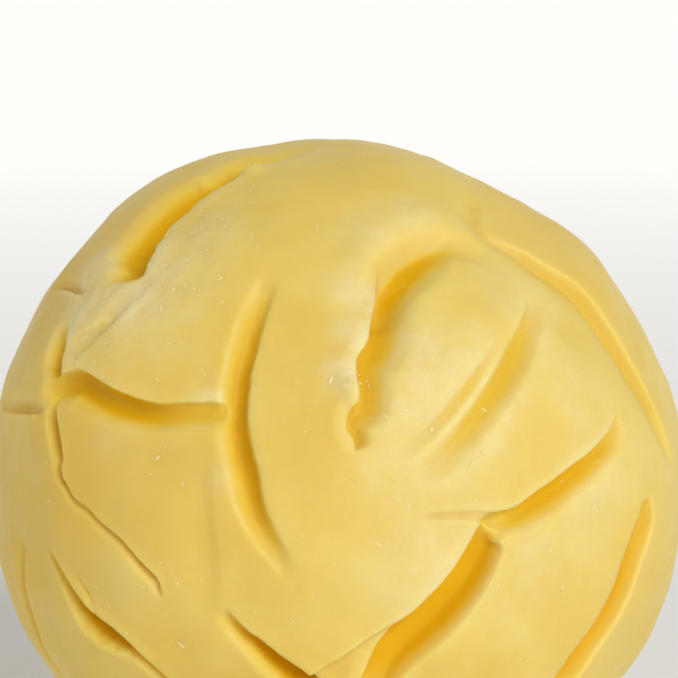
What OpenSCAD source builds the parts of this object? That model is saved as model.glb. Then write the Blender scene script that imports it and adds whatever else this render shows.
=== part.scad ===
// Ball of butter, kneaded and shaped by hand.
// One solid: a lumpy round, dented all over by the scoops, troughs and creases that
// the edge of a hand or a paddle leaves, and settled on a small flat spot.
// Millimetres, +Z up. The origin is under the middle of the ball, at its foot,
// and the side with the boldest marks faces -Y.

/* [Ball] */
// Radius of the round before it was dented
ball_r = 52; // [40:1:60]
// Height of the ball's middle above its flat foot, as a share of the radius
middle_share = 0.93; // [0.88:0.01:0.97]
// Strength of the lumps that the hands left, where 1 is as listed below
lumpiness = 1; // [0:0.1:1.5]

/* [Press marks] */
// Depth of every mark, where 1 is as listed below
mark_depth = 1; // [0.5:0.1:1.2]
// Width of every mark, where 1 is as listed below
mark_width = 1; // [0.7:0.1:1.3]

/* [Mesh] */
// Points round each ring
round_steps = 68; // [48:4:80]
// Rings between the top and the foot
ring_steps = 32; // [20:2:36]
// Pieces that each stretch between two listed points of a mark is split into
line_pieces = 2; // [1:1:4]

/* [Hidden] */

butter_yellow = [0.93, 0.80, 0.45];

// The lists below were sized on a ball of this radius, and grow with ball_r.
listed_r = 52;
size = ball_r / listed_r;
foot_z = -ball_r * middle_share;

// Directions from the ball's middle are given as [longitude, latitude] in degrees.
// Longitude is 0 at -Y and grows towards +X, and latitude is 90 at the top.

// Bulges and flats of the round: longitude, latitude, reach in degrees, and rise in mm.
LUMPS = [
    // round the outline that the front shows
    [-110, 58, 13, 1.5],
    [ 110, 58, 16, -1.8],
    [ -97, 28, 16, 0.5],
    [  95, 36, 14, -0.6],
    [ -93, -15, 16, 0.6],
    [  84, -27, 14, 0.4],
    [ 103, 45, 7, -0.55],
    [ 123, 68, 8, 0.65],
    [-157, 77, 7, 0.45],
    [-119, 66, 5, -0.4],
    [-105, 51, 5, 0.5],
    [-100, 40, 6, -0.6],
    [ -95, 22, 5, 0.35],
    [ -93, 15, 4, -0.35],
    // on the front
    [  35, 22, 17, 0.8],
    [ -30, 44, 15, 0.7],
    [ -62, 2, 12, -0.7],
    [  -2, -3, 16, 0.6],
    [  60, -14, 11, -0.5],
    // on the sides and the back
    [ 122, 12, 18, 1.0],
    [ 150, -16, 14, -0.8],
    [ 168, 34, 18, 0.9],
    [-162, 4, 14, -0.7],
    [-134, 26, 16, 0.9],
    [-118, -18, 15, 0.8],
    [ 172, 66, 14, -0.8],
    [   0, 86, 18, -0.4],
];

// A press mark has a steep side along a line, and a gentler slope away from it.
// side: 1 where the slope lies left of the line as it runs, seen from outside, or -1.
// wall: run of the steep side in mm. floor: the share of the rest that lies level.
// line: longitude, latitude, and there the mark's width and depth in mm.
FRONT_MARKS = [
    // upper left scoop
    [ 1, 1.4, 0.2, [[-46, 44.5, 6, 2.6], [-48, 50, 11.4, 5.1], [-48.4, 57, 12, 4.8],
                   [-45, 64, 10, 3.4], [-45, 70, 8, 2.1], [-35.4, 75.3, 6.4, 1.0], [-30, 81, 4, 0]]],
    // long centre groove
    [-1, 1.4, 0.2, [[-13, 44, 3, 0], [-14, 35, 4, 1.8], [-15, 29, 4.4, 2.4],
                   [-14, 18, 4.4, 2.6], [-11.5, 9, 4.4, 2.3], [-7, 0, 3, 0]]],
    // left crossing crease
    [-1, 1.2, 0.15, [[-58, 22.5, 4.4, 1.2], [-52, 25, 5.4, 2.5], [-45, 25, 6, 3.0], [-36, 23, 5, 2.9],
                    [-27, 23, 4.6, 1.8], [-19, 23.5, 4.6, 1.5]]],
    // left upright groove above it, and the slit below
    [-1, 1.2, 0.15, [[-59, 33, 4, 0], [-56.5, 28, 4.6, 2.0], [-55.5, 25.5, 4.8, 2.0]]],
    [-1, 0.6, 0.3, [[-54, 20.5, 2, 1.4], [-52, 16, 3, 2.4], [-49, 11, 2.5, 2.0], [-48, 8, 1, 0.6]]],
    // lower left pocket
    [-1, 0.8, 0.15, [[-50, -5, 1, 0.3], [-43, -11, 2.8, 3.2], [-37, -14, 3.6, 5.0],
                    [-33, -17.5, 2.2, 2.6], [-28, -22, 1.5, 1.0]]],
    // outermost seam on the left
    [-1, 0.9, 0.15, [[-63, -5, 3, 0], [-63, -15, 3.4, 1.3], [-64, -26, 3, 0.8]]],
    // pocket at the front of the base
    [-1, 0.9, 0.15, [[-16, -8, 2.5, 0], [-10.5, -14, 3.6, 3.0], [-6, -18, 4.6, 4.6], [1, -23, 3, 0.8]]],
    // big trough at the lower right
    [ 1, 1.0, 0.65, [[23.5, 6, 3.6, 1.0], [20, 2.3, 5.3, 3.2], [14.5, -4.3, 6.5, 4.2], [9, -9.8, 6.6, 4.1],
                    [4.4, -16.5, 5.6, 2.9], [2, -24, 4.2, 1.1]]],
    // the lip that runs on beside it
    [ 1, 0.6, 0.3, [[12, -6.5, 2, 0.4], [4, -12.4, 3.6, 1.4], [-8, -20.5, 3, 0.6]]],
    // crease right of the middle
    [-1, 0.8, 0.4, [[14, 7, 1, 0.4], [24, 7, 2.6, 1.3], [30.5, 8.3, 4.6, 2.8], [39, 11.8, 4.5, 2.9],
                    [46, 14.5, 4, 2.4], [51, 17.5, 3, 0]]],
    // ribbed scoop right of the middle
    [-1, 2.0, 0.1, [[42, 37, 2.6, 0], [35, 29.7, 4.6, 2.1], [28.5, 23.3, 5.2, 2.4], [21.7, 17.1, 4.8, 1.8],
                   [14, 11.5, 3.6, 0]]],
    [-1, 1.0, 0.15, [[29, 30, 3, 0], [21, 22, 3.4, 0.9], [10, 14, 3, 0]]],
    // upper centre scoop, then its overhanging lower half
    [ 1, 2.7, 0.1, [[36, 50.5, 6, 0], [24, 53.5, 8.4, 2.6], [12, 49.5, 9, 3.8], [6, 43, 7.8, 3.2], [4.5, 36, 6, 0]]],
    [ 1, 1.0, 0.1, [[7.5, 42, 6, 0], [5.2, 35, 5.6, 3.0], [2.5, 29, 4.9, 2.9], [2.5, 23, 4.2, 2.5],
                   [1.5, 17, 3.4, 1.4]]],
    // long fold along the right edge
    [-1, 1.0, 0.1, [[44.5, 51, 4, 0], [51.2, 44.9, 6, 1.6], [57.5, 39, 6.6, 2.0], [61.3, 28.9, 6.6, 2.0],
                   [66.5, 18.5, 5.6, 1.6], [70, 8, 4, 0]]],
    // groove at the lower right edge
    [-1, 0.8, 0.2, [[59, 3.5, 4, 1.2], [55.8, -5.5, 6, 2.3], [50.8, -16.2, 6.4, 2.6], [45.4, -23.7, 6.2, 2.3],
                   [38, -33, 5, 0.6]]],
    // two short dents at the left edge
    [ 1, 0.7, 0.15, [[-84, 35, 2, 0], [-72, 37, 2.6, 1.2], [-61, 37, 2, 0]]],
    [ 1, 0.7, 0.15, [[-77, 14, 2, 0], [-67, 16, 2.8, 1.3], [-57, 17, 2, 0]]],
];

HIDDEN_MARKS = [
    // right side
    [-1, 1.3, 0.15, [[97, 52, 4, 0], [98, 38, 6.5, 3.2], [103, 25, 6, 3.4], [110, 13, 4, 0]]],
    [-1, 0.9, 0.15, [[86, -5, 3, 0], [97, -7, 4.4, 2.8], [109, -6, 4.2, 2.6], [120, 0, 3, 0]]],
    [ 1, 1.2, 0.15, [[84, -30, 3, 0], [98, -33, 4.6, 2.2], [112, -29, 4, 0]]],
    // back
    [ 1, 1.3, 0.15, [[118, 58, 5, 0], [128, 50, 8.5, 3.4], [140, 40, 8, 3.6], [146, 28, 4.5, 0.8]]],
    [-1, 1.2, 0.15, [[124, 26, 3, 0], [134, 14, 4.6, 2.8], [142, 1, 4.8, 3.0], [154, -10, 4, 0]]],
    [-1, 0.9, 0.15, [[160, 24, 3, 0], [172, 20, 4.8, 3.0], [184, 21, 4.6, 2.6], [194, 26, 3, 0]]],
    [ 1, 1.3, 0.15, [[212, 16, 4, 0.8], [203, 5, 6.2, 3.8], [193, -5, 6.4, 3.8], [180, -12, 5, 1.0]]],
    [ 1, 1.2, 0.15, [[172, 52, 4, 0], [190, 50, 6.5, 2.8], [205, 42, 5, 0]]],
    [-1, 1.0, 0.15, [[128, -24, 3, 0], [144, -30, 4.6, 2.6], [162, -30, 4, 0.6]]],
    // left side
    [-1, 1.3, 0.15, [[226, 48, 4, 0], [222, 35, 6, 3.2], [228, 21, 5.6, 3.0], [238, 10, 4, 0]]],
    [ 1, 1.0, 0.15, [[262, 22, 3, 0], [256, 8, 5, 2.8], [246, -6, 5, 2.8], [232, -14, 4, 0.6]]],
    [-1, 1.0, 0.15, [[206, -26, 3, 0], [220, -31, 4.2, 3.2], [236, -30, 3, 0]]],
    [ 1, 1.1, 0.15, [[284, -30, 3, 0], [268, -28, 4.4, 2.2], [254, -32, 3, 0]]],
    // top and low front
    [ 1, 1.3, 0.15, [[100, 72, 4, 0], [140, 74, 6, 2.6], [185, 72, 4, 0]]],
    [-1, 1.0, 0.15, [[12, -34, 3, 0], [28, -37, 4.2, 2.2], [46, -35, 3, 0]]],
    [ 1, 1.0, 0.15, [[-20, -38, 3, 0], [-36, -36, 4, 2.2], [-52, -38, 3, 0]]],
];

MARKS = concat(FRONT_MARKS, HIDDEN_MARKS);

// How far past a blunt end the floor of a mark comes up, and how far clear of the ball.
run_out = 1.5 * size;
clear = 0.8 * size;
// How far above the ball each press starts.
press_top = 3 * size;

function direction(lon, lat) = [sin(lon) * cos(lat), -cos(lon) * cos(lat), sin(lat)];
function unit(v) = v / norm(v);
function total(list) = len(list) == 0 ? 0 : list * [for (i = list) 1];
function bell(x) = exp(-x * x);
function angle_between(a, b) = acos(min(1, max(-1, a * b)));
function place(p) = [p.x, p.y, p.z];

LUMP_DIRECTIONS = [for (lump = LUMPS) direction(lump[0], lump[1])];

function round_radius(u) = ball_r + lumpiness * size * total([
    for (i = [0 : len(LUMPS) - 1]) LUMPS[i][3] * bell(angle_between(u, LUMP_DIRECTIONS[i]) / LUMPS[i][2])
]);

// The lumpy round in one direction, cut level where the ball has settled.
function surface_at(lon, lat) =
    let (
        u = direction(lon, lat),
        p = u * round_radius(u)
    )
    p.z < foot_z ? p * foot_z / p.z : p;

// One smooth curve through the points of a list, at share t from point i to the next.
function curve_at(points, i, t) =
    let (
        last = len(points) - 1,
        a = points[max(0, i - 1)],
        b = points[i],
        c = points[min(last, i + 1)],
        d = points[min(last, i + 2)]
    )
    (2 * b + (c - a) * t + (2 * a - 5 * b + 4 * c - d) * t * t
        + (3 * b - 3 * c + d - a) * t * t * t) / 2;

function curve_through(points) = [
    for (i = [0 : len(points) - 2], k = [0 : line_pieces - 1]) curve_at(points, i, k / line_pieces),
    points[len(points) - 1],
];

// A listed line as stations [x, y, z, width, depth], where x, y, z is a direction.
function traced(line) =
    let (
        listed = [for (p = line) concat(
            direction(p[0], p[1]),
            [p[2] * mark_width * size, p[3] * mark_depth * size]
        )]
    )
    [for (p = curve_through(listed)) concat(unit([p.x, p.y, p.z]), [max(0.5, p[3]), max(0, p[4])])];

// A line that fades out ends clear of the ball; a blunt end gets one more station, past it.
function ended(last, before) =
    last[4] < 0.5 * size
        ? [concat(place(last), [last[3], -clear])]
        : let (away = unit(place(last) - place(before)))
            [concat(unit(place(last) + away * run_out / ball_r), [last[3] * 0.7, -clear]), last];

function with_ends(track) =
    let (
        n = len(track) - 1,
        start = ended(track[0], track[1]),
        finish = ended(track[n], track[n - 1])
    )
    concat(start, [for (k = [1 : n - 1]) track[k]], [for (k = [len(finish) - 1 : -1 : 0]) finish[k]]);

// The section that a press cuts, as [distance across, height], from the steep side over.
function press_section(width, depth, wall, floor_share) =
    let (
        run = min(wall * size, 0.42 * width),
        left = width - run,
        floor_end = run + floor_share * left,
        rest = width - floor_end
    )
    [
        [-0.1 * run, press_top],
        [0.1 * run, -0.15 * depth],
        [run, -0.95 * depth],
        [floor_end, -depth],
        [floor_end + 0.55 * rest, -0.45 * depth],
        [floor_end + 1.05 * rest, 0.25 * size],
        [floor_end + 1.05 * rest, press_top],
    ];

// A point of the section, wrapped round the ball at one station.
function wrapped(u, across, radius, p) =
    let (turn = p.x / ball_r * 180 / PI)
    (radius + p.y) * (cos(turn) * u + sin(turn) * across);

// The shape that one mark takes out of the round, along its whole line.
module press(mark) {
    track = with_ends(traced(mark[3]));
    last = len(track) - 1;
    sections = [for (k = [0 : last])
        let (
            u = place(track[k]),
            along = unit(place(track[min(last, k + 1)]) - place(track[max(0, k - 1)])),
            across = unit(mark[0] * cross(u, along)),
            radius = round_radius(u)
        )
        [for (p = press_section(track[k][3], track[k][4], mark[1], mark[2]))
            wrapped(u, across, radius, p)]
    ];
    n = len(sections[0]);
    sides = [for (k = [0 : last - 1], i = [0 : n - 1], half = [0, 1])
        let (
            a = k * n + i,
            b = k * n + (i + 1) % n
        )
        half == 0 ? [a, b, a + n] : [b, b + n, a + n]
    ];
    caps = [
        [for (i = [n - 1 : -1 : 0]) i],
        [for (i = [0 : n - 1]) last * n + i],
    ];
    faces = concat(sides, caps);
    // A slope on the left mirrors the section, so its faces are listed the other way.
    polyhedron(
        [for (s = sections) each s],
        mark[0] < 0 ? faces : [for (f = faces) [for (i = [len(f) - 1 : -1 : 0]) f[i]]],
        convexity = 8
    );
}

RINGS = [for (i = [1 : ring_steps - 1], j = [0 : round_steps - 1])
    surface_at(360 * j / round_steps, 90 - 180 * i / ring_steps)];
XS = [for (p = RINGS) p.x];
YS = [for (p = RINGS) p.y];

// The lumpy round before it is pressed.
module lumpy_round() {
    top = len(RINGS);
    foot = top + 1;
    last_ring = (ring_steps - 2) * round_steps;
    faces = concat(
        [for (j = [0 : round_steps - 1]) [top, (j + 1) % round_steps, j]],
        [for (i = [0 : ring_steps - 3], j = [0 : round_steps - 1], half = [0, 1])
            let (
                a = i * round_steps + j,
                b = i * round_steps + (j + 1) % round_steps
            )
            half == 0 ? [a, b, a + round_steps] : [b, b + round_steps, a + round_steps]
        ],
        [for (j = [0 : round_steps - 1]) [foot, last_ring + j, last_ring + (j + 1) % round_steps]]
    );
    polyhedron(concat(RINGS, [surface_at(0, 90), surface_at(0, -90)]), faces, convexity = 4);
}

module butter() {
    color(butter_yellow)
        translate([-(min(XS) + max(XS)) / 2, -(min(YS) + max(YS)) / 2, -foot_z])
            difference() {
                lumpy_round();
                for (mark = MARKS) press(mark);
            }
}

butter();
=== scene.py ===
import math
import random

import bmesh
import bpy
import numpy as np
from mathutils import Matrix, Vector
from mathutils.bvhtree import BVHTree


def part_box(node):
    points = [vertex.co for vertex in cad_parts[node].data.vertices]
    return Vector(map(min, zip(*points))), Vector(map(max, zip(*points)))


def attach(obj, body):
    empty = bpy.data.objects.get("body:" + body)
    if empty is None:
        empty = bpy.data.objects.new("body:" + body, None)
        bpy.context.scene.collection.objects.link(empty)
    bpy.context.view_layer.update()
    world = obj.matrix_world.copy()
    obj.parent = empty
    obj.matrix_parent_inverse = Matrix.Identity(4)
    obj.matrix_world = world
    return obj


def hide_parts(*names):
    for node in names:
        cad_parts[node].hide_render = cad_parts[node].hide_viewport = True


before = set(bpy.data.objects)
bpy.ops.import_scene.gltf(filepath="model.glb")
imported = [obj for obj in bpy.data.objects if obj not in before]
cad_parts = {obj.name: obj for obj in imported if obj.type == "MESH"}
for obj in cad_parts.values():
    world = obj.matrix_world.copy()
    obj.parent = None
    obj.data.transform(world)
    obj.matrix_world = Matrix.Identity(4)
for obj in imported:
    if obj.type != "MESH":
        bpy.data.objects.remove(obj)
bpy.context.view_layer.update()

mm = 0.001

# The ball is modelled in millimetres round the world origin, then set into the frame's box.
# Directions are (longitude, latitude) in degrees: longitude 0 faces -Y and grows towards +X.
ballLook = {
    "listedRadius": 52.0,
    "startSubdivisions": 7,
    "fineNear": 1.7,          # mm either side of a mark's steep side that gets smaller faces
    "finestNear": 0.7,        # the same for a second round, on the front marks only
    "relaxPasses": 2,
    "inset": 0.001,           # share by which the ball stays smaller than its box
    "footShare": 0.93,        # height of the middle above the foot, as a share of the radius
    "footRound": 1.2,         # mm over which the foot's edge is rounded
    # longitude, latitude, reach in degrees, rise in mm
    "lumps": [
        (-110, 58, 13, 1.5), (110, 58, 16, -1.8), (-97, 28, 16, 0.5), (95, 36, 14, -0.6),
        (-93, -15, 16, 0.6), (84, -27, 14, 0.4), (103, 45, 7, -0.55), (123, 68, 8, 0.65),
        (-157, 77, 7, 0.45), (-119, 66, 5, -0.4), (-105, 51, 5, 0.5), (-100, 40, 6, -0.6),
        (-95, 22, 5, 0.35), (-93, 15, 4, -0.35),
        (35, 22, 17, 0.8), (-30, 44, 15, 0.7), (-62, 2, 12, -0.7), (-2, -3, 16, 0.6),
        (60, -14, 11, -0.5),
        (122, 12, 18, 1.0), (150, -16, 14, -0.8), (168, 34, 18, 0.9), (-162, 4, 14, -0.7),
        (-134, 26, 16, 0.9), (-118, -18, 15, 0.8), (172, 66, 14, -0.8), (0, 86, 18, -0.4),
    ],
    # hand-made unevenness: wavelength and height in mm, then a seed
    "ripples": [(34, 0.42, 3), (15, 0.16, 5), (6.5, 0.055, 8), (3.0, 0.018, 13)],
    # small pits: longitude, latitude, radius and depth in mm
    "pits": [(-34, 1, 0.35, 0.35), (-31, -2, 0.3, 0.3), (-23, -5, 0.35, 0.3), (-21, 35, 0.3, 0.3),
             (12, -2, 0.3, 0.25), (31, -6, 0.35, 0.3), (-7, 58, 0.3, 0.25)],
    # dabs smeared on: longitude, latitude, radius and height in mm
    "dabs": [(1.6, 26.2, 1.3, 0.8), (1.9, 24.2, 1.1, 0.7), (-39.5, 69.3, 1.5, 0.75), (-49, 33.5, 1.2, 0.3)],
    # warmer, duller places, painted shade where the ball turns from the light (its left, top, lower right
    # and edges) and a random warmer tone on the hidden sides, then paler, creamier ones: longitude,
    # latitude, reach in degrees, strength
    "shadeTanPatches": [
        (-52, 8, 26, 0.9), (-72, 40, 24, 1.0), (-80, -5, 30, 1.0), (10, 78, 24, 0.6), (72, 52, 20, 0.8),
        (-30, -20, 16, 0.4), (90, 0, 20, 0.7), (58, -18, 20, 0.45), (150, 40, 30, 0.6),
        (-140, 0, 30, 0.7), (125, -10, 22, 0.5),
    ],
    # the broad patches over the lit right of the middle are a painted sheen; the rest are creamy film,
    # smears and a random tone
    "creamAndSheenPatches": [
        (-43, 40, 12, 0.85), (-57, 34, 9, 0.85), (-34, 51, 9, 0.55), (-64, 41, 8, 0.85),
        (2.8, 35, 4, 0.9), (0.6, 28, 4, 0.8), (4, 42, 5, 0.7), (8, 55, 6, 0.5), (22, 58, 7, 0.4),
        (-21, 24, 4, 0.6), (-18, 12, 5, 0.4), (18, 26, 13, 0.85), (38, 38, 9, 0.55), (46, 22, 12, 0.5),
        (12, 12, 12, 0.5), (44, 8, 12, 0.6), (30, -2, 12, 0.55), (14, 0, 13, 0.65), (-38, 16, 6, 0.4),
        (-35, -4, 7, 0.35), (46, -8, 8, 0.2),
        (130, 30, 12, 0.6), (170, 5, 14, 0.6), (-150, 40, 12, 0.6), (-120, 5, 12, 0.5), (95, -15, 10, 0.5),
        (-160, -20, 12, 0.4), (60, 70, 10, 0.4), (160, 70, 12, 0.5),
    ],
}

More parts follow.
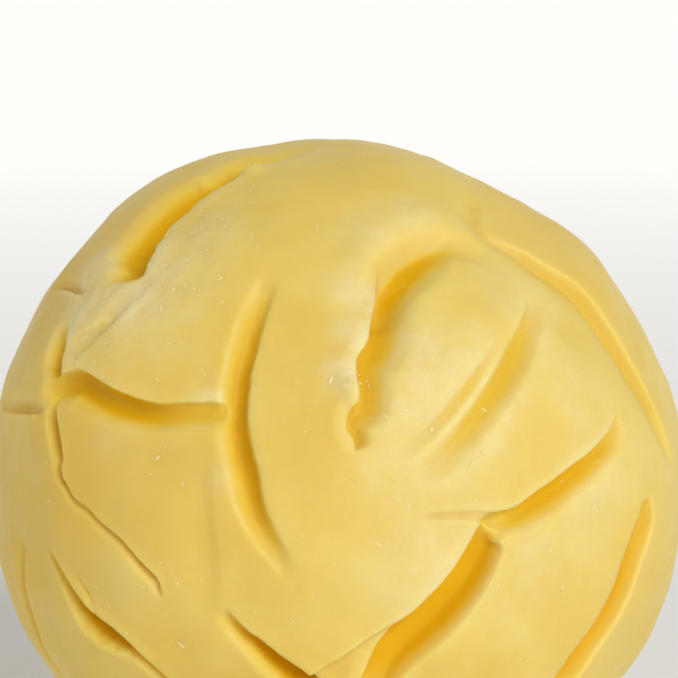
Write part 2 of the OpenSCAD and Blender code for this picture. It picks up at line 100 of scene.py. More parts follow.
# Each press mark has a steep side along a line and a gentler slope away from it.
# side: 1 where the slope lies left of the line as it runs, seen from outside, or -1.
# wall: half the run of the steep side. over: how far its lip leans over the slope.
# rim: height of the butter pushed up along it. rag: how ragged the lip is. All in mm.
# floor: share of the slope that lies level. ends: how far each end takes to fade out, in mm.
# Some also have: steep, how much the wall is gathered in; fold, a slope that rolls over into the
# crease; glow, how far the deep colour, a painted shade, reaches past the wall and takes to fade, in mm;
# tint, its strength; endTint, below 1 where it lasts to the ends; paleWall, a wall that the painted shade
# leaves pale;
# crispFar, a sharp far edge; ragReach, how far from the lip its raggedness reaches, in mm.
# line: longitude, latitude, width and depth in mm.
frontMarks = [
    {"name": "upper left scoop", "side": 1, "wall": 1.4, "over": 0.2, "rim": 0.25, "rag": 0.25,
     "floor": 0.2, "glow": (6.4, 5.5), "tint": 1.35, "endTint": 0.2, "ends": (3.4, 5.0),
     "line": [(-45.9, 44.6, 7.6, 3.6), (-46.6, 47.0, 9.8, 4.6), (-47.9, 50.0, 11.4, 5.2),
              (-48.4, 53.3, 12.2, 5.3), (-48.4, 56.5, 12.2, 4.9), (-47.7, 59.5, 11.6, 4.4),
              (-46, 62.6, 10.6, 3.7), (-44.2, 65.8, 9.6, 3.0), (-46, 69, 8.4, 2.3), (-42, 72, 7.4, 1.6),
              (-35.4, 75.3, 6.4, 1.0), (-31, 80, 5, 0.4)]},
    {"name": "long centre groove", "side": -1, "wall": 1.4, "over": 0.0, "rim": 0.2, "rag": 0.15,
     "floor": 0.25, "steep": 0.5, "tint": 1.2, "ends": (3.0, 3.0),
     "line": [(-13, 42, 3.0, 0.8), (-14, 36, 3.8, 1.9), (-15, 30, 4.2, 2.3), (-15, 24, 4.4, 2.5),
              (-14, 18, 4.4, 2.6), (-12.3, 13, 4.4, 2.5), (-11, 8, 4.0, 2.2), (-9, 4, 3.2, 1.5),
              (-7, 0.5, 2.4, 0.6)]},
    {"name": "left crossing crease", "side": -1, "wall": 1.3, "over": 0.25, "rim": 0.15, "rag": 0.1,
     "floor": 0.1, "tint": 1.3, "ends": (2.4, 1.0),
     "line": [(-57.8, 22.6, 4.4, 1.3), (-55.3, 23.8, 5.0, 2.0), (-52.2, 24.9, 5.4, 2.5),
              (-49.4, 25.6, 5.8, 2.9), (-45.7, 25.0, 6.0, 3.0), (-42.4, 24.2, 5.8, 3.1),
              (-39.2, 23.4, 5.4, 3.1), (-35.3, 22.9, 5.0, 2.9), (-31.9, 22.5, 4.8, 2.4),
              (-29.6, 22.6, 4.6, 2.0), (-25.8, 23.1, 4.6, 1.75), (-21.9, 23.4, 4.6, 1.6),
              (-19.5, 23.5, 4.6, 1.55)]},
    {"name": "left upright groove", "side": -1, "wall": 1.4, "over": 0.0, "rim": 0.1, "rag": 0.1,
     "floor": 0.1, "steep": 0.5, "tint": 1.6, "endTint": 0.5, "ends": (3.0, 3.6),
     "line": [(-58.8, 31.0, 3.8, 1.0), (-56.8, 28.6, 4.6, 1.9), (-55.7, 26.4, 4.8, 2.3)]},
    {"name": "left slit", "side": -1, "wall": 0.5, "over": 0.1, "rim": 0.15, "rag": 0.1,
     "floor": 0.45, "tint": 1.4, "ends": (2.0, 1.2),
     "line": [(-54.1, 20.2, 2.0, 1.6), (-53.2, 18.5, 2.3, 2.2), (-52.2, 17.0, 2.4, 2.6),
              (-50.9, 15.1, 2.4, 2.8), (-49.7, 13.1, 2.2, 2.6), (-49.2, 11.5, 1.8, 2.2),
              (-49.5, 10.2, 1.5, 1.9), (-48.6, 8.7, 1.3, 1.4)]},
    {"name": "left seam", "side": -1, "wall": 0.36, "over": 0.15, "rim": 0.25, "rag": 0.06,
     "floor": 0.2, "ends": (1.0, 1.4),
     "line": [(-48.6, 8.7, 1.1, 1.3), (-47.2, 7.2, 1.0, 1.1), (-45.3, 5.8, 1.0, 0.95),
              (-42.4, 5.0, 1.0, 0.8), (-40.0, 3.7, 1.0, 0.85), (-37.1, 2.4, 1.1, 0.95),
              (-34.5, 1.2, 1.2, 1.1), (-31.9, -0.6, 1.3, 1.25), (-29.5, -2.6, 1.4, 1.35),
              (-27.9, -3.9, 1.4, 1.2), (-27.4, -5.5, 1.3, 0.8)]},
    {"name": "lower left pocket", "side": -1, "wall": 0.7, "over": 0.15, "rim": 0.3, "rag": 0.08,
     "floor": 0.45, "tint": 1.6, "ends": (2.5, 2.0),
     "line": [(-50.6, -4.0, 1.4, 0.8), (-48.0, -6.1, 1.8, 1.5), (-45.7, -8.1, 2.2, 2.3),
              (-43.5, -9.9, 2.8, 3.2), (-41.3, -11.3, 3.6, 4.4), (-39.2, -12.4, 4.0, 5.0),
              (-37.2, -13.4, 3.8, 5.2), (-35.2, -14.9, 3.1, 4.6), (-33.8, -16.2, 2.0, 3.2),
              (-32.4, -17.7, 1.6, 2.0), (-31.2, -19.3, 1.4, 1.4), (-29.5, -21.2, 1.4, 1.1)]},
    {"name": "outer left seam", "side": -1, "wall": 0.9, "over": 0.2, "rim": 0.3, "rag": 0.05,
     "floor": 0.1, "ends": (3.0, 3.0),
     "line": [(-62.1, -6, 2.4, 0.6), (-62.8, -11.9, 3.0, 1.3), (-63.0, -15.7, 3.2, 1.5),
              (-63.5, -19.2, 3.2, 1.5), (-63.7, -22.5, 3.0, 1.3), (-62.5, -26, 2.8, 1.0)]},
    {"name": "base pocket", "side": -1, "wall": 0.9, "over": 0.3, "rim": 0.3, "rag": 0.08,
     "floor": 0.3, "tint": 1.4, "ends": (2.5, 3.0),
     "line": [(-16, -9, 2.2, 1.0), (-14.0, -11.0, 2.8, 1.9), (-11.5, -12.7, 3.4, 2.8),
              (-9.1, -14.7, 4.0, 3.8), (-6.7, -16.3, 4.6, 4.8), (-4.6, -17.8, 4.8, 5.0),
              (-2.2, -20.5, 4.6, 4.2), (1, -24, 3.4, 2.0)]},
    {"name": "big trough", "side": 1, "wall": 1.0, "over": 0.35, "rim": 0.25, "rag": 0.03,
     "floor": 0.74, "crispFar": True, "ends": (3.0, 4.0),
     "line": [(23.4, 5.8, 3.6, 1.0), (21.6, 4.9, 4.6, 2.0), (20.0, 2.5, 5.2, 3.1), (18.0, -0.4, 5.8, 3.9),
              (15.5, -3.3, 6.4, 4.2), (12.5, -6.3, 6.7, 4.3), (9.4, -9.4, 6.6, 4.1), (6.6, -12.8, 6.2, 3.6),
              (4.4, -16.5, 5.6, 2.9), (2.8, -20.5, 5.0, 2.1), (1.8, -25, 4.2, 1.1)]},
    {"name": "lip beside it", "side": 1, "wall": 0.5, "over": 0.1, "rim": 0.15, "rag": 0.03,
     "floor": 0.3, "tint": 0.5, "ends": (3.0, 3.0),
     "line": [(11.5, -6.9, 2.2, 0.6), (8.3, -9.2, 3.0, 1.3), (4.0, -12.4, 3.6, 1.5), (0.3, -15.1, 3.6, 1.4),
              (-3.2, -17.3, 3.4, 1.2), (-8, -20.4, 3.0, 0.7)]},
    {"name": "right crease", "side": -1, "wall": 0.8, "over": 0.3, "rim": 0.25, "rag": 0.05,
     "floor": 0.45, "ends": (2.0, 2.0),
     "line": [(14, 7, 0.9, 0.5), (18, 7, 1.1, 0.7), (21.5, 6.9, 1.4, 0.9), (24.5, 6.7, 3.0, 1.5),
              (27.6, 7.0, 4.0, 2.3), (30.5, 8.3, 4.6, 2.8), (34.6, 9.9, 4.8, 3.0), (39.0, 11.8, 4.6, 3.0),
              (43.3, 13.4, 4.3, 2.8), (47.9, 15.5, 3.8, 2.3), (50.5, 17.0, 3.0, 1.5)]},
    {"name": "ribbed scoop", "side": -1, "wall": 1.9, "over": 0.0, "rim": 0.25, "rag": 0.05,
     "floor": 0.05, "steep": 0.1, "tint": 0.82, "ends": (3.0, 4.0),
     "line": [(42.0, 36.4, 2.4, 0.8), (40.2, 34.4, 3.0, 1.4), (37.4, 31.6, 3.7, 2.0), (34.7, 29.0, 4.2, 2.3),
              (31.7, 26.0, 4.6, 2.5), (28.4, 22.9, 4.8, 2.5), (25.0, 19.9, 4.8, 2.3), (21.7, 17.0, 4.6, 1.9),
              (18.4, 14.4, 4.4, 1.3), (15.4, 12.4, 3.8, 0.6)]},
    {"name": "rib beside it", "side": -1, "wall": 1.2, "over": 0.0, "rim": 0.0, "rag": 0.1,
     "floor": 0.1, "steep": 0.1, "tint": 1.1, "ends": (3.0, 4.0),
     "line": [(29.5, 30.2, 2.2, 0.5), (25, 26.3, 2.8, 1.1), (20.5, 22.3, 3.0, 1.2), (16, 18.6, 2.8, 0.9),
              (11.5, 15.6, 2.4, 0.4)]},
    {"name": "upper centre scoop", "side": 1, "wall": 2.7, "over": 0.0, "rim": 0.4, "rag": 0.12,
     "floor": 0.0, "steep": 0.1, "paleWall": True, "glow": (1.2, 5.4), "tint": 0.95, "ends": (5.0, 3.6),
     "line": [(36, 50.5, 5.0, 0.6), (30, 53, 7.0, 1.6), (24, 53.5, 8.4, 2.6), (17.5, 52.2, 9.0, 3.4),
              (11.8, 49.4, 9.0, 3.9), (7.6, 45.6, 8.4, 3.8), (5.6, 42, 7.4, 3.0), (4.8, 39, 6.4, 1.8)]},
    {"name": "ragged lip", "side": 1, "wall": 0.95, "over": 0.75, "rim": 0.4, "rag": 0.09,
     "floor": 0.0, "ragReach": 1.4, "glow": (1.6, 5.0), "tint": 0.9, "ends": (4.0, 1.0),
     "line": [(8.2, 43.6, 7.2, 1.0), (7.2, 41, 7.6, 2.2), (6.0, 38, 7.6, 3.0), (5.2, 35.3, 7.4, 3.1),
              (4.6, 33.2, 7.2, 3.0), (3.5, 31.9, 7.0, 2.9), (2.6, 30.1, 6.8, 2.8), (2.5, 27.7, 6.4, 2.7),
              (2.9, 25.8, 6.0, 2.6), (2.7, 24.0, 5.6, 2.5), (1.6, 22.9, 5.0, 2.4), (0.9, 21.7, 4.5, 2.3),
              (0.9, 19.9, 4.0, 2.1), (1.7, 18.4, 3.6, 2.0), (2.3, 17.2, 3.0, 1.6)]},
    {"name": "outer right fold", "side": -1, "wall": 0.75, "over": 0.0, "rim": 0.05, "rag": 0.03,
     "floor": 0.0, "fold": True, "steep": 0.3, "glow": (0.0, 0.4), "tint": 0.7, "ends": (4.0, 5.0),
     "line": [(44.8, 50.2, 5.0, 0.7), (48.5, 47.8, 6.2, 1.4), (51.2, 44.9, 7.0, 1.8), (54.4, 42.2, 7.4, 2.0),
              (57.2, 39.3, 7.4, 2.1), (58.9, 35.8, 7.4, 2.1), (60.0, 32.7, 7.4, 2.1), (61.3, 28.9, 7.2, 2.1),
              (63.0, 24.9, 7.0, 2.0), (65.2, 21.0, 6.6, 1.8), (67.2, 17.2, 6.0, 1.6), (68.1, 13.4, 5.2, 1.2),
              (69.4, 10.0, 4.4, 0.7)]},
    {"name": "lower right groove", "side": -1, "wall": 0.7, "over": 0.1, "rim": 0.1, "rag": 0.03,
     "floor": 0.15, "fold": True, "glow": (0.5, 1.4), "tint": 1.1, "ends": (1.8, 5.0),
     "line": [(58.6, 2.6, 4.6, 1.6), (58.4, -0.4, 5.8, 2.2), (55.8, -5.5, 6.8, 2.5), (53.8, -11.1, 7.2, 2.7),
              (50.8, -16.2, 7.2, 2.8), (47.4, -20.6, 7.0, 2.7), (45.4, -23.7, 6.6, 2.5),
              (42.2, -28.0, 6.0, 2.0), (39.0, -32.0, 5.2, 1.2)]},
    {"name": "upper edge dent", "side": 1, "wall": 0.6, "over": 0.2, "rim": 0.2, "rag": 0.2,
     "floor": 0.0, "ends": (2.5, 2.5),
     "line": [(-82, 35.5, 1.8, 0.6), (-72, 37, 2.6, 1.3), (-63, 37, 2.0, 0.7)]},
    {"name": "middle edge dent", "side": 1, "wall": 0.5, "over": 0.2, "rim": 0.3, "rag": 0.2,
     "floor": 0.0, "ends": (2.0, 2.0),
     "line": [(-76, 14.5, 1.8, 0.6), (-67, 16, 2.8, 1.4), (-59, 17, 2.2, 0.8)]},
    {"name": "soft fold", "side": -1, "wall": 0.9, "over": 0.0, "rim": 0.12, "rag": 0.25,
     "floor": 0.3, "tint": 0.5, "ends": (3.0, 2.0),
     "line": [(-41.1, 40.2, 3.5, 0.2), (-43.0, 37.3, 4.0, 0.35), (-45.7, 33.5, 4.2, 0.45),
              (-48.6, 29.8, 4.0, 0.45), (-50.8, 26.9, 3.5, 0.3)]},
    {"name": "short scrape", "side": 1, "wall": 0.6, "over": 0.0, "rim": 0.25, "rag": 0.3,
     "floor": 0.0, "tint": 0.4, "ends": (1.5, 1.5),
     "line": [(-47.5, 34.6, 1.6, 0.3), (-50, 32.6, 1.8, 0.5), (-53, 31.6, 1.6, 0.3)]},
    {"name": "faint crease", "side": -1, "wall": 1.5, "over": 0.0, "rim": 0.1, "rag": 0.0,
     "floor": 0.0, "ends": (5.0, 5.0),
     "line": [(-20, 12, 5, 0.25), (-19, 6, 6, 0.5), (-18, 0, 6, 0.55), (-18, -7, 5, 0.3)]},
    {"name": "hairline", "side": -1, "wall": 0.3, "over": 0.0, "rim": 0.1, "rag": 0.12,
     "floor": 0.0, "ends": (1.0, 1.0),
     "line": [(-43.5, -6.5, 0.8, 0.2), (-42.3, -7.7, 0.8, 0.4), (-41.2, -8.9, 0.8, 0.45),
              (-40.2, -10.6, 0.8, 0.3)]},
    {"name": "top dent", "side": -1, "wall": 1.2, "over": 0.0, "rim": 0.15, "rag": 0.1,
     "floor": 0.0, "ends": (3.0, 3.0),
     "line": [(48, 58, 3.5, 0.4), (43, 55, 4.5, 0.8), (43, 51, 3.5, 0.4)]},
]

hiddenMarks = [
    # right side
    {"side": -1, "wall": 1.3, "over": 0.8, "rim": 0.3, "rag": 0.2, "floor": 0.0, "ends": (4, 4),
     "line": [(97, 52, 4, 0.8), (98, 38, 6.5, 3.2), (103, 25, 6, 3.4), (110, 13, 4, 0.8)]},
    {"side": -1, "wall": 0.9, "over": 0.5, "rim": 0.3, "rag": 0.3, "floor": 0.0, "ends": (3, 3),
     "line": [(86, -5, 3, 0.6), (97, -7, 4.4, 2.8), (109, -6, 4.2, 2.6), (120, 0, 3, 0.6)]},
    {"side": 1, "wall": 1.2, "over": 0.2, "rim": 0.3, "rag": 0.1, "floor": 0.2, "ends": (4, 4),
     "line": [(84, -30, 3, 0.5), (98, -33, 4.6, 2.2), (112, -29, 4, 0.5)]},
    # back
    {"side": 1, "wall": 1.3, "over": 1.0, "rim": 0.4, "rag": 0.6, "floor": 0.0, "ends": (5, 2),
     "line": [(118, 58, 5, 0.8), (128, 50, 8.5, 3.4), (140, 40, 8, 3.6), (146, 28, 4.5, 1.2)]},
    {"side": -1, "wall": 1.2, "over": 0.2, "rim": 0.25, "rag": 0.15, "floor": 0.1, "ends": (4, 4),
     "line": [(124, 26, 3, 0.8), (134, 14, 4.6, 2.8), (142, 1, 4.8, 3.0), (154, -10, 4, 0.8)]},
    {"side": -1, "wall": 0.9, "over": 0.7, "rim": 0.35, "rag": 0.4, "floor": 0.0, "ends": (3, 3),
     "line": [(160, 24, 3, 0.6), (172, 20, 4.8, 3.0), (184, 21, 4.6, 2.6), (194, 26, 3, 0.6)]},
    {"side": 1, "wall": 1.3, "over": 0.4, "rim": 0.35, "rag": 0.15, "floor": 0.45, "ends": (2, 4),
     "line": [(212, 16, 4, 1.2), (203, 5, 6.2, 3.8), (193, -5, 6.4, 3.8), (180, -12, 5, 1.2)]},
    {"side": 1, "wall": 1.2, "over": 0.3, "rim": 0.3, "rag": 0.3, "floor": 0.0, "ends": (4, 4),
     "line": [(172, 52, 4, 0.6), (190, 50, 6.5, 2.8), (205, 42, 5, 0.8)]},
    {"side": -1, "wall": 1.0, "over": 0.2, "rim": 0.25, "rag": 0.1, "floor": 0.1, "ends": (4, 4),
     "line": [(128, -24, 3, 0.6), (144, -30, 4.6, 2.6), (162, -30, 4, 0.8)]},
    # left side
    {"side": -1, "wall": 1.3, "over": 0.3, "rim": 0.3, "rag": 0.2, "floor": 0.1, "ends": (4, 4),
     "line": [(226, 48, 4, 0.8), (222, 35, 6, 3.2), (228, 21, 5.6, 3.0), (238, 10, 4, 0.8)]},
    {"side": 1, "wall": 1.0, "over": 0.6, "rim": 0.3, "rag": 0.3, "floor": 0.0, "ends": (4, 4),
     "line": [(262, 22, 3, 0.6), (256, 8, 5, 2.8), (246, -6, 5, 2.8), (232, -14, 4, 0.8)]},
    {"side": -1, "wall": 1.0, "over": 0.6, "rim": 0.3, "rag": 0.2, "floor": 0.1, "ends": (3, 3),
     "line": [(206, -26, 3, 0.6), (220, -31, 4.2, 3.2), (236, -30, 3, 0.6)]},
    {"side": 1, "wall": 1.1, "over": 0.2, "rim": 0.25, "rag": 0.1, "floor": 0.1, "ends": (4, 4),
     "line": [(284, -30, 3, 0.5), (268, -28, 4.4, 2.2), (254, -32, 3, 0.5)]},
    # top and low front
    {"side": 1, "wall": 1.3, "over": 0.4, "rim": 0.35, "rag": 0.3, "floor": 0.0, "ends": (4, 4),
     "line": [(100, 72, 4, 0.6), (140, 74, 6, 2.6), (185, 72, 4, 0.6)]},
    {"side": -1, "wall": 1.0, "over": 0.2, "rim": 0.25, "rag": 0.1, "floor": 0.1, "ends": (4, 4),
     "line": [(12, -34, 3, 0.5), (28, -37, 4.2, 2.2), (46, -35, 3, 0.5)]},
    {"side": 1, "wall": 1.0, "over": 0.2, "rim": 0.25, "rag": 0.1, "floor": 0.1, "ends": (4, 4),
     "line": [(-20, -38, 3, 0.5), (-36, -36, 4, 2.2), (-52, -38, 3, 0.5)]},
]


def directionOf(lon, lat):
    a, b = math.radians(lon), math.radians(lat)
    return np.array([math.sin(a) * math.cos(b), -math.cos(a) * math.cos(b), math.sin(b)])


def ease(x):
    t = np.clip(x, 0, 1)
    return t * t * (3 - 2 * t)


def bell(x):
    return np.exp(-x * x)


def angleFrom(units, lon, lat):
    return np.degrees(np.arccos(np.clip(units @ directionOf(lon, lat), -1, 1)))


# Smooth unevenness between about -1 and 1, for points in mm.
def wander(points, wavelength, seed):
    picks = np.random.RandomState(seed)
    total = np.zeros(len(points))
    for _ in range(9):
        way = picks.normal(size=3)
        way = way / np.linalg.norm(way) * picks.uniform(0.7, 1.5) * 2 * math.pi / wavelength
        total += np.sin(points @ way + picks.uniform(0, 2 * math.pi))
    return total / 3


# The listed points on one smooth curve, as unit directions with width and depth.
def traceLine(line, pieces=6):
    listed = [np.append(directionOf(p[0], p[1]), p[2:]) for p in line]
    last = len(listed) - 1
    track = []
    for i in range(last):
        a, b = listed[max(0, i - 1)], listed[i]
        c, d = listed[i + 1], listed[min(last, i + 2)]
        for k in range(pieces):
            t = k / pieces
            track.append((2 * b + (c - a) * t + (2 * a - 5 * b + 4 * c - d) * t * t
                          + (3 * b - 3 * c + d - a) * t * t * t) / 2)
    track.append(listed[last])
    track = np.array(track)
    track[:, :3] /= np.linalg.norm(track[:, :3], axis=1)[:, None]
    return track


# The points that a mark reaches, and where each lies: across its line and past its ends in mm,
# with the line's width and depth beside it, the way to its slope, and the nearest point on it.
def measureMark(units, mark, radius):
    track = mark["track"]
    centre = track[:, :3].mean(axis=0)
    centre /= np.linalg.norm(centre)
    spread = np.arccos(np.clip(track[:, :3] @ centre, -1, 1)).max()
    margin = track[:, 3].max() + 3 * mark["wall"] + 4.0
    picked = np.nonzero(units @ centre > math.cos(min(spread + margin / radius, 3.1)))[0]
    u = units[picked]
    count = len(picked)
    lastStep = len(track) - 2
    gap = np.full(count, 1e9)
    across, past, width, depth = np.zeros((4, count))
    slopeWay, nearest = np.zeros((2, count, 3))
    nearSecondEnd = np.zeros(count, bool)
    for k in range(lastStep + 1):
        a, b = track[k], track[k + 1]
        step = b[:3] - a[:3]
        share = np.clip((u - a[:3]) @ step / (step @ step), 0, 1)
        onLine = a[:3] + share[:, None] * step
        off = u - onLine
        distance = np.linalg.norm(off, axis=1)
        closer = distance < gap
        along = step / np.linalg.norm(step)
        sideways = mark["side"] * np.cross(onLine, along)
        pastEnd = off @ along
        sign = np.where(np.sum(off * sideways, axis=1) < 0, -1.0, 1.0)
        squareOff = np.sqrt(np.maximum(distance ** 2 - pastEnd ** 2, 0))
        isEnd = ((k == 0) & (share <= 0)) | ((k == lastStep) & (share >= 1))
        gap[closer] = distance[closer]
        across[closer] = (np.where(isEnd, squareOff, distance) * sign)[closer] * radius
        past[closer] = np.where(isEnd, pastEnd, 0)[closer] * radius
        width[closer] = (a[3] + share * (b[3] - a[3]))[closer]
        depth[closer] = (a[4] + share * (b[4] - a[4]))[closer]
        slopeWay[closer] = sideways[closer]
        nearest[closer] = onLine[closer]
        nearSecondEnd[closer] = k > lastStep / 2
    return picked, across, past, width, depth, slopeWay, nearest, nearSecondEnd


# How a mark moves the points it reaches, as a rise and a lean in mm, and the painted shade in its hollow and
# the painted highlight along its lip there.
def pressMark(units, mark, radius):
    picked, across, past, width, depth, slopeWay, nearest, nearSecondEnd = measureMark(units, mark, radius)
    wall = mark["wall"]
    tint = mark.get("tint", 1.0)
    if mark["rag"] > 0:
        place = nearest * radius
        ragged = wander(place, 3.4, mark["seed"]) + 0.5 * wander(place, 1.5, mark["seed"] + 1)
        across = across + 0.55 * mark["rag"] * ragged * bell(across / mark.get("ragReach", 3.0))

    # how much of the mark is left towards its ends
    fade = np.where(nearSecondEnd, mark["ends"][1], mark["ends"][0])
    kept = np.maximum(1 - ease(np.abs(past) / fade), 0) ** 1.5
    strength = np.clip(depth / 2.0, 0, 1) * kept

    # the steep side, then the slope that climbs out of it
    x = across / wall
    drop = ease((x + 0.6) / 1.6)
    t = (across - wall) / np.maximum(width - wall, 0.3 * width)
    t = np.clip((t - mark["floor"]) / (1 - mark["floor"]), 0, 1)
    slope = (1 - t) ** 2 if mark.get("fold") else 0.5 + 0.5 * np.cos(math.pi * t)
    sunk = depth * kept * drop * slope

    # butter pushed up along both sides, and a lip that leans over
    farReach = 1.0 if mark.get("crispFar") else 0.3 * width + 0.4
    rim = bell((x + 1.3) / 0.9) + 0.35 * bell((across - width) / farReach)
    rise = mark["rim"] * strength * rim - sunk
    lean = mark["over"] * strength * (bell((x + 0.6) / 0.6) - 0.5 * bell((x - 0.3) / 0.35))
    gather = -x * bell(x / 0.8) * wall * mark.get("steep", 0.8) * strength

    # painted shade: the hollow's deeper amber stands in for its shade and the light bounced inside the
    # butter
    hollowShade = sunk * tint * np.maximum(kept, 0.01) ** (mark.get("endTint", 1.0) - 1)
    if "glow" in mark:
        reach, fading = mark["glow"]
        hollowShade = hollowShade * (1 - ease((across - wall - reach) / fading))
    if mark.get("paleWall"):
        hollowShade = hollowShade * ease((x - 0.35) / 0.65)
    # painted highlight along the pushed-up lip
    lipHighlight = strength * bell((x + 0.9) / 0.8)
    return picked, rise, slopeWay * (lean + gather)[:, None], hollowShade, lipHighlight


marks = frontMarks + hiddenMarks
for index, mark in enumerate(marks):
    mark["track"] = traceLine(mark["line"])
    mark["seed"] = 40 + index
print("marks on the front:", ", ".join(mark["name"] for mark in frontMarks))


# Splits the edges that lie near a mark's steep side, so that it can turn sharply.
def refineNearMarks(bm, radius, near, marksToUse):
    bm.verts.ensure_lookup_table()
    units = np.array([v.co for v in bm.verts])
    units /= np.linalg.norm(units, axis=1)[:, None]
    close = np.zeros(len(units), bool)
    for mark in marksToUse:
        picked, across, past, width = measureMark(units, mark, radius)[:4]
        within = (across > -near) & (across < near + 0.6 * mark["wall"])
        if mark.get("crispFar"):
            within |= np.abs(across - width + 0.6) < near + 0.6
        close[picked[within & (np.abs(past) < near)]] = True
    edges = [e for e in bm.edges if close[e.verts[0].index] or close[e.verts[1].index]]
    bmesh.ops.subdivide_edges(bm, edges=edges, cuts=1, use_grid_fill=True)
    bmesh.ops.triangulate(bm, faces=[f for f in bm.faces if len(f.verts) > 3])
    for v in bm.verts:
        v.co = v.co.normalized() * radius
    bm.verts.index_update()


# The strongest of some round patches at each point.
def patchesOn(units, patches):
    strongest = np.zeros(len(units))
    for lon, lat, reach, strength in patches:
        strongest = np.maximum(strongest, strength * bell(angleFrom(units, lon, lat) / reach))
    return strongest


# The pressed ball's points in mm, and what its surface needs to know about them.
def shapeBall(units, look):
    radius = look["listedRadius"]
    base = np.full(len(units), radius)
    for lon, lat, reach, rise in look["lumps"]:
        base += rise * bell(angleFrom(units, lon, lat) / reach)
    for wavelength, height, seed in look["ripples"]:
        base += height * wander(units * radius, wavelength, seed)
    for lon, lat, size, depth in look["pits"]:
        gap = np.linalg.norm(units - directionOf(lon, lat), axis=1) * radius
        base -= depth * bell(gap / size)
    for lon, lat, size, height in look["dabs"]:
        gap = np.linalg.norm(units - directionOf(lon, lat), axis=1) * radius
        gap = gap * (1 + 0.25 * wander(units * radius, 2.4, 77))
        base += height * (1 - ease(gap / size / 1.6))

    rise, hollowShade, lipHighlight = np.zeros((3, len(units)))
    lean = np.zeros((len(units), 3))
    for mark in marks:
        picked, markRise, markLean, markHollowShade, markLipHighlight = pressMark(units, mark, radius)
        rise[picked] += markRise
        lean[picked] += markLean
        hollowShade[picked] = np.maximum(hollowShade[picked], markHollowShade)
        lipHighlight[picked] = np.maximum(lipHighlight[picked], markLipHighlight)
    points = units * (base + rise)[:, None] + lean

    # the flat foot, with a rounded edge
    foot = -radius * look["footShare"]
    soft = look["footRound"]
    over = points[:, 2] - foot
    rounded = np.where(over < -soft, 0, (over + soft) ** 2 / (4 * soft))
    points[:, 2] = foot + np.where(over > soft, over, rounded)
    return points, {"hollowShade": hollowShade, "lipHighlight": lipHighlight, "creamAndSheen": patchesOn(units, look["creamAndSheenPatches"]),
                    "shadeTan": patchesOn(units, look["shadeTanPatches"])}


def setAttribute(mesh, name, values):
    attribute = mesh.attributes.new(name, "FLOAT", "POINT")
    attribute.data.foreach_set("value", np.asarray(values, np.float32))


# Evens out the small steps that the mesh leaves along sharp lips.
def relaxCreases(mesh, passes):
    bm = bmesh.new()
    bm.from_mesh(mesh)
    short = 0.75 * sum(e.calc_length() for e in bm.edges) / len(bm.edges)
    verts = [v for v in bm.verts if min(e.calc_length() for e in v.link_edges) < short]
    for _ in range(passes):
        bmesh.ops.smooth_vert(bm, verts=verts, factor=0.5, use_axis_x=True, use_axis_y=True, use_axis_z=True)
    bm.to_mesh(mesh)
    bm.free()
    mesh.update()


# The ball fills its box in the frame. Its listed middle is returned too.
def buildBall(look):
    radius = look["listedRadius"]
    bm = bmesh.new()
    bmesh.ops.create_icosphere(bm, subdivisions=look["startSubdivisions"], radius=radius)
    bm.verts.index_update()
    refineNearMarks(bm, radius, look["fineNear"], marks)
    refineNearMarks(bm, radius, look["finestNear"], frontMarks)
    bm.verts.ensure_lookup_table()
    units = np.array([v.co for v in bm.verts]) / radius
    points, shades = shapeBall(units, look)
    mesh = bpy.data.meshes.new("butterBall")
    bm.to_mesh(mesh)
    bm.free()

    low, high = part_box("butter")
    spans = points.max(axis=0) - points.min(axis=0)
    points = points * (1 - look["inset"]) * min((high[i] - low[i]) / spans[i] for i in range(3))
    lowest, highest = points.min(axis=0), points.max(axis=0)
    shift = (np.array(low) + np.array(high) - lowest - highest) / 2
    shift[2] = low.z - lowest[2]
    mesh.vertices.foreach_set("co", (points + shift).astype(np.float32).ravel())
    relaxCreases(mesh, look["relaxPasses"])
    for name, values in shades.items():
        setAttribute(mesh, name, values)
    mesh.shade_smooth()
    ball = bpy.data.objects.new("butterBall", mesh)
    bpy.context.scene.collection.objects.link(ball)
    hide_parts("butter")
    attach(ball, "root")
    spans = [round(float(span) / mm, 2) for span in highest - lowest]
    print("ball:", len(mesh.polygons), "faces, size in mm", spans)
    return ball, Vector(shift)


# Beads of moisture and flecks of butter lie where the marks pushed them up. Each kind is one mesh.
# zones: longitude, latitude, reach in degrees, how many
beadLook = {
    "name": "moistureBeads",
    "seed": 11,
    "zones": [
        (-47, 40, 13, 70), (-36, 52, 12, 45), (-33, 33, 14, 40), (-60, 33, 9, 25), (-56, 12, 12, 22),
        (25, 24, 17, 60), (36, 10, 13, 45), (12, 12, 12, 40), (6, 60, 18, 40), (0, 25, 10, 24),
        (32, -6, 13, 26), (48, 30, 12, 22), (-10, -4, 20, 22), (-36, -10, 14, 18),
        (75, 20, 24, 40), (110, 20, 28, 50), (150, 30, 28, 50), (-170, 10, 28, 50), (-130, 25, 28, 50),
        (-95, 10, 24, 40), (120, 65, 22, 26), (-120, 62, 20, 26), (60, -20, 18, 16), (-100, -20, 20, 18),
    ],
    "radius": (0.07, 0.2),     # mm
    "longShare": 0.15,         # this share are runs, drawn out along the surface
    "longBy": (2.0, 4.5),
    "flatness": 0.55,
    "sink": 0.25,              # share of its height that lies in the butter
    "lumpiness": 0.0,
    "segments": 8,
}

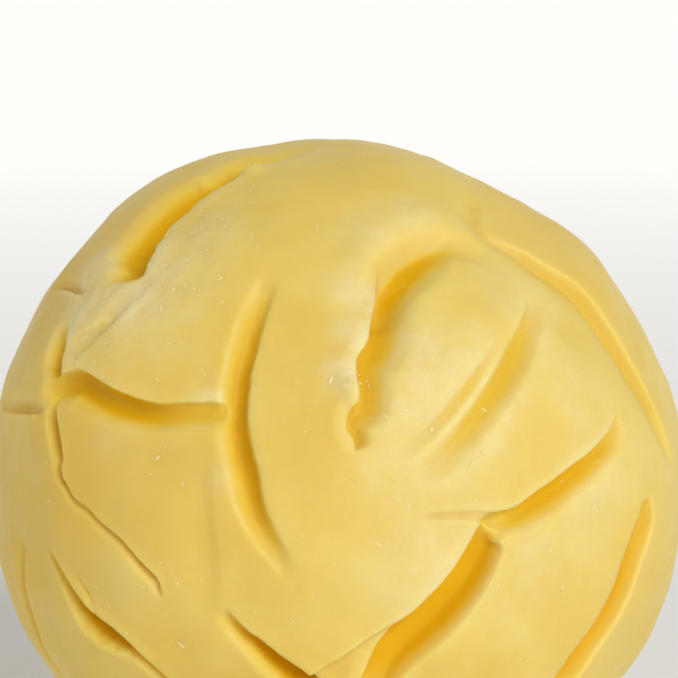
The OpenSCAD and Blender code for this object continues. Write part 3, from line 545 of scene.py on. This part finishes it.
fleckLook = {
    "name": "butterFlecks",
    "seed": 12,
    "zones": [
        (2, 27, 3, 9), (5, 42, 4, 4), (-50, 33, 4, 12), (-27, 66, 3, 3), (24, 12, 6, 5),
        (14, 19, 5, 4), (34, -3, 6, 3), (44, 20, 5, 3), (-60, 38, 5, 6),
        (-38, 48, 8, 14), (-33, 45, 6, 10), (-50, 27, 6, 6),
        (-26, 34, 8, 5), (-30, 10, 10, 4),
        (130, 45, 8, 8), (180, 20, 9, 8), (-135, 35, 9, 8), (-105, 0, 9, 6), (100, -5, 8, 6),
    ],
    "radius": (0.13, 0.38),    # mm
    "longShare": 1.0,
    "longBy": (1.0, 2.3),
    "flatness": 0.35,
    "sink": 0.35,
    "lumpiness": 0.12,
    "segments": 8,
}


# Where each small piece sits in the ball's surface, as a matrix, and how long it is.
def seatPiece(look, surface, middle, zone, picks):
    lon, lat, reach, count = zone
    angle = reach * math.sqrt(picks.random())
    turn = picks.uniform(0, 2 * math.pi)
    lift = min(88, lat + angle * math.sin(turn))
    along = lon + angle * math.cos(turn) / max(0.2, math.cos(math.radians(lift)))
    way = Vector(directionOf(along, lift))
    hit, normal = surface.ray_cast(middle + way * 0.09, -way)[:2]
    if hit is None or normal.dot(way) < 0.8:
        return None, 0
    smallest, largest = look["radius"]
    size = (smallest + (largest - smallest) * picks.random() ** 2) * mm
    isLong = picks.random() < look["longShare"]
    length = picks.uniform(*look["longBy"]) if isLong else 1
    thick = size * look["flatness"]
    seat = Matrix.Translation(hit - normal * thick * look["sink"])
    upright = normal.to_track_quat("Z", "Y").to_matrix().to_4x4()
    spin = Matrix.Rotation(picks.uniform(0, 2 * math.pi), 4, "Z")
    return seat @ upright @ spin @ Matrix.Diagonal((size * length, size, thick, 1)), length


def scatterOnBall(look, ball, middle):
    picks = random.Random(look["seed"])
    surface = BVHTree.FromPolygons([v.co for v in ball.data.vertices],
                                   [tuple(p.vertices) for p in ball.data.polygons])
    mesh = bpy.data.meshes.new(look["name"])
    everyZone = bmesh.new()
    for zone in look["zones"]:
        bm = bmesh.new()
        for _ in range(zone[3]):
            place, length = seatPiece(look, surface, middle, zone, picks)
            if place is None:
                continue
            made = bmesh.ops.create_uvsphere(bm, u_segments=look["segments"],
                                             v_segments=look["segments"] - 2, radius=1)
            bend = 0.12 * length if length > 1 else 0
            for v in made["verts"]:
                v.co.y += bend * (v.co.x ** 2 - 0.4)
                v.co *= 1 + look["lumpiness"] * picks.uniform(-1, 1)
                v.co = place @ v.co
        bm.to_mesh(mesh)
        bm.free()
        everyZone.from_mesh(mesh)
    everyZone.to_mesh(mesh)
    everyZone.free()
    mesh.shade_smooth()
    piece = bpy.data.objects.new(look["name"], mesh)
    bpy.context.scene.collection.objects.link(piece)
    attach(piece, "root")
    print(look["name"] + ":", len(mesh.polygons), "faces")
    return piece


def buildBeadMaterial():
    material = bpy.data.materials.new("moisture")
    material.use_nodes = True
    shader = material.node_tree.nodes["Principled BSDF"]
    shader.inputs["Base Color"].default_value = (0.89, 0.77, 0.38, 1)
    shader.inputs["Roughness"].default_value = 0.15
    shader.inputs["IOR"].default_value = 1.4
    return material


def buildFleckMaterial():
    material = bpy.data.materials.new("fleck")
    material.use_nodes = True
    shader = material.node_tree.nodes["Principled BSDF"]
    shader.inputs["Base Color"].default_value = (0.85, 0.69, 0.25, 1)
    shader.inputs["Roughness"].default_value = 0.4
    return material


butterLook = {
    "duller": (0.795, 0.59, 0.13, 1),      # the surface wavers between these two
    "brighter": (0.825, 0.635, 0.17, 1),
    # painted shade where the ball turns from the light, and a random warmer tone on the hidden sides
    "shadeTan": (0.79, 0.53, 0.095, 1),
    "shadeTanStrength": 0.75,
    # creamy film and smears, and a painted sheen where the light falls broadly
    "creamAndSheen": (0.865, 0.75, 0.40, 1),
    "lipHighlightStrength": 0.25,                    # how strongly the pushed-up lips take a painted highlight
    # painted shade: the marks turn a deeper amber with depth, for the shade and bounced light in them
    "shallowShade": (0.83, 0.60, 0.08, 1),      # inside the marks
    "shallowShadeFrom": (0.3, 1.8),             # mm of depth over which it comes in
    "deep": (0.80, 0.465, 0.006, 1),
    "deepFrom": (1.3, 3.2),
    "roughness": (0.32, 0.5),
    "bumpStrength": 0.4,
    "bumpDistance": 0.0006,
    "subsurface": 0.7,
    "subsurfaceRadius": (1.0, 0.8, 0.3),
    "subsurfaceScale": 0.0035,
}


def buildButterMaterial(look):
    material = bpy.data.materials.new("butter")
    material.use_nodes = True
    nodes = material.node_tree.nodes
    links = material.node_tree.links
    shader = nodes["Principled BSDF"]
    shader.inputs["IOR"].default_value = 1.46
    shader.inputs["Specular IOR Level"].default_value = 0.15
    shader.inputs["Subsurface Weight"].default_value = look["subsurface"]
    shader.inputs["Subsurface Radius"].default_value = look["subsurfaceRadius"]
    shader.inputs["Subsurface Scale"].default_value = look["subsurfaceScale"]

    def attribute(name):
        node = nodes.new("ShaderNodeAttribute")
        node.attribute_name = name
        return node.outputs["Fac"]

    def spread(value, low, high, toLow=0.0, toHigh=1.0):
        node = nodes.new("ShaderNodeMapRange")
        node.interpolation_type = "SMOOTHSTEP"
        for name, setting in zip(("From Min", "From Max", "To Min", "To Max"), (low, high, toLow, toHigh)):
            node.inputs[name].default_value = setting
        links.new(value, node.inputs["Value"])
        return node.outputs["Result"]

    def combine(operation, first, second):
        node = nodes.new("ShaderNodeMath")
        node.operation = operation
        for socket, value in zip(node.inputs, (first, second)):
            if isinstance(value, (int, float)):
                socket.default_value = value
            else:
                links.new(value, socket)
        return node.outputs["Value"]

    def plus(first, second):
        return combine("ADD", first, second)

    def times(first, second):
        return combine("MULTIPLY", first, second)

    def mixColour(factor, first, second):
        node = nodes.new("ShaderNodeMix")
        node.data_type = "RGBA"
        for socket, value in ((node.inputs[0], factor), (node.inputs[6], first), (node.inputs[7], second)):
            if isinstance(value, tuple):
                socket.default_value = value
            else:
                links.new(value, socket)
        return node.outputs[2]

    place = nodes.new("ShaderNodeTexCoord").outputs["Object"]

    def grain(scale, detail, roughness):
        node = nodes.new("ShaderNodeTexNoise")
        node.inputs["Scale"].default_value = scale
        node.inputs["Detail"].default_value = detail
        node.inputs["Roughness"].default_value = roughness
        links.new(place, node.inputs["Vector"])
        return node.outputs["Fac"]

    broad = grain(38, 3, 0.5)
    patchy = grain(95, 4, 0.55)
    cloudy = grain(150, 4, 0.6)
    speckled = grain(360, 3, 0.6)
    fine = grain(620, 3, 0.6)

    # creamy film and smears, painted sheen on the lit places, and the painted highlight along the pushed-up
    # lips
    creamAndSheen = plus(attribute("creamAndSheen"), times(attribute("lipHighlight"), look["lipHighlightStrength"]))
    creamAndSheen = times(creamAndSheen, spread(cloudy, 0.25, 0.75, 0.8, 1.1))
    creamAndSheen = times(creamAndSheen, spread(speckled, 0.3, 0.7, 0.85, 1.12))
    creamAndSheen = plus(creamAndSheen, spread(patchy, 0.45, 0.8, 0.0, 0.14))
    wavering = spread(plus(times(broad, 0.4), times(patchy, 0.6)), 0.38, 0.6)
    surface = mixColour(wavering, look["duller"], look["brighter"])
    # painted shade: warmer and duller where the ball turns from the light, a random warmer tone on the
    # hidden sides
    surface = mixColour(times(attribute("shadeTan"), look["shadeTanStrength"]), surface, look["shadeTan"])
    surface = mixColour(spread(creamAndSheen, 0.0, 1.3), surface, look["creamAndSheen"])
    # painted shade inside the marks, a deeper amber with depth
    surface = mixColour(spread(attribute("hollowShade"), *look["shallowShadeFrom"]), surface, look["shallowShade"])
    surface = mixColour(spread(attribute("hollowShade"), *look["deepFrom"]), surface, look["deep"])
    links.new(surface, shader.inputs["Base Color"])
    links.new(spread(cloudy, 0.3, 0.7, *look["roughness"]), shader.inputs["Roughness"])

    # creamier places, and those with painted sheen, are smeared and rougher
    smeared = spread(attribute("creamAndSheen"), 0.2, 1.0, 0.3, 1.5)
    height = plus(times(cloudy, 0.6), times(speckled, smeared))
    height = plus(height, times(times(fine, smeared), 0.6))
    bump = nodes.new("ShaderNodeBump")
    bump.inputs["Strength"].default_value = look["bumpStrength"]
    bump.inputs["Distance"].default_value = look["bumpDistance"]
    links.new(height, bump.inputs["Height"])
    links.new(bump.outputs["Normal"], shader.inputs["Normal"])
    return material


stageLook = {
    "floorReach": 8,               # metres each way
    "floorGap": 0.0002,            # below the ball
    "floorColour": (0.94, 0.94, 0.94, 1),
    # the floor glows a little far from the ball, so that it stays pale behind it
    "glowFrom": 0.15,
    "glowTo": 1.0,
    "glowStrength": (0.05, 0.34),
    "airColour": (1, 0.96, 0.89, 1),
    "airStrength": 0.4,
    # name, longitude and latitude it comes from, strength, width in degrees
    "lights": [("key", 26, 27, 1.78, 30), ("fill", -100, 25, 0.2, 60), ("back", 175, 12, 0.3, 60)],
}


def addFloor(look, height):
    bm = bmesh.new()
    bmesh.ops.create_grid(bm, x_segments=1, y_segments=1, size=look["floorReach"])
    mesh = bpy.data.meshes.new("floor")
    bm.to_mesh(mesh)
    bm.free()
    floor = bpy.data.objects.new("floor", mesh)
    floor.location = (0, 0, height - look["floorGap"])
    bpy.context.scene.collection.objects.link(floor)
    material = bpy.data.materials.new("paleFloor")
    material.use_nodes = True
    nodes = material.node_tree.nodes
    links = material.node_tree.links
    shader = nodes["Principled BSDF"]
    shader.inputs["Base Color"].default_value = look["floorColour"]
    shader.inputs["Roughness"].default_value = 0.8
    shader.inputs["Emission Color"].default_value = (1, 1, 1, 1)
    away = nodes.new("ShaderNodeVectorMath")
    away.operation = "LENGTH"
    links.new(nodes.new("ShaderNodeTexCoord").outputs["Object"], away.inputs[0])
    glow = nodes.new("ShaderNodeMapRange")
    glow.inputs["From Min"].default_value = look["glowFrom"]
    glow.inputs["From Max"].default_value = look["glowTo"]
    glow.inputs["To Min"].default_value, glow.inputs["To Max"].default_value = look["glowStrength"]
    links.new(away.outputs["Value"], glow.inputs["Value"])
    links.new(glow.outputs["Result"], shader.inputs["Emission Strength"])
    mesh.materials.append(material)


def addLight(name, lon, lat, strength, width):
    light = bpy.data.lights.new(name, "SUN")
    light.energy = strength
    light.angle = math.radians(width)
    lamp = bpy.data.objects.new(name, light)
    away = Vector(directionOf(lon, lat))
    lamp.location = away
    lamp.rotation_euler = away.to_track_quat("Z", "Y").to_euler()
    bpy.context.scene.collection.objects.link(lamp)


def addAir(look):
    world = bpy.data.worlds.new("studio")
    world.use_nodes = True
    background = world.node_tree.nodes["Background"]
    background.inputs["Color"].default_value = look["airColour"]
    background.inputs["Strength"].default_value = look["airStrength"]
    bpy.context.scene.world = world


cameraLook = {
    "lens": 150,
    "elevation": 12,      # degrees above the ball's middle
    "distance": 4.1,      # in widths of the ball
    "pitch": -9.1,        # degrees; it looks a little above the middle
    "turn": -0.02,
}


def addCamera(look, target, width):
    camera = bpy.data.cameras.new("camera")
    camera.lens = look["lens"]
    camera.sensor_width = 36
    camera.clip_start = 0.01
    holder = bpy.data.objects.new("camera", camera)
    holder.location = target + Vector(directionOf(0, look["elevation"])) * look["distance"] * width
    holder.rotation_euler = (math.radians(90 + look["pitch"]), 0, math.radians(look["turn"]))
    bpy.context.scene.collection.objects.link(holder)
    bpy.context.scene.camera = holder


ball, ballMiddle = buildBall(ballLook)
ball.data.materials.append(buildButterMaterial(butterLook))
beads = scatterOnBall(beadLook, ball, ballMiddle)
beads.data.materials.append(buildBeadMaterial())
flecks = scatterOnBall(fleckLook, ball, ballMiddle)
flecks.data.materials.append(buildFleckMaterial())

low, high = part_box("butter")
addFloor(stageLook, low.z)
for light in stageLook["lights"]:
    addLight(*light)
addAir(stageLook)
addCamera(cameraLook, ballMiddle, high.x - low.x)
bpy.context.scene.view_settings.view_transform = "Standard"
print("stage, lights and camera are in place")
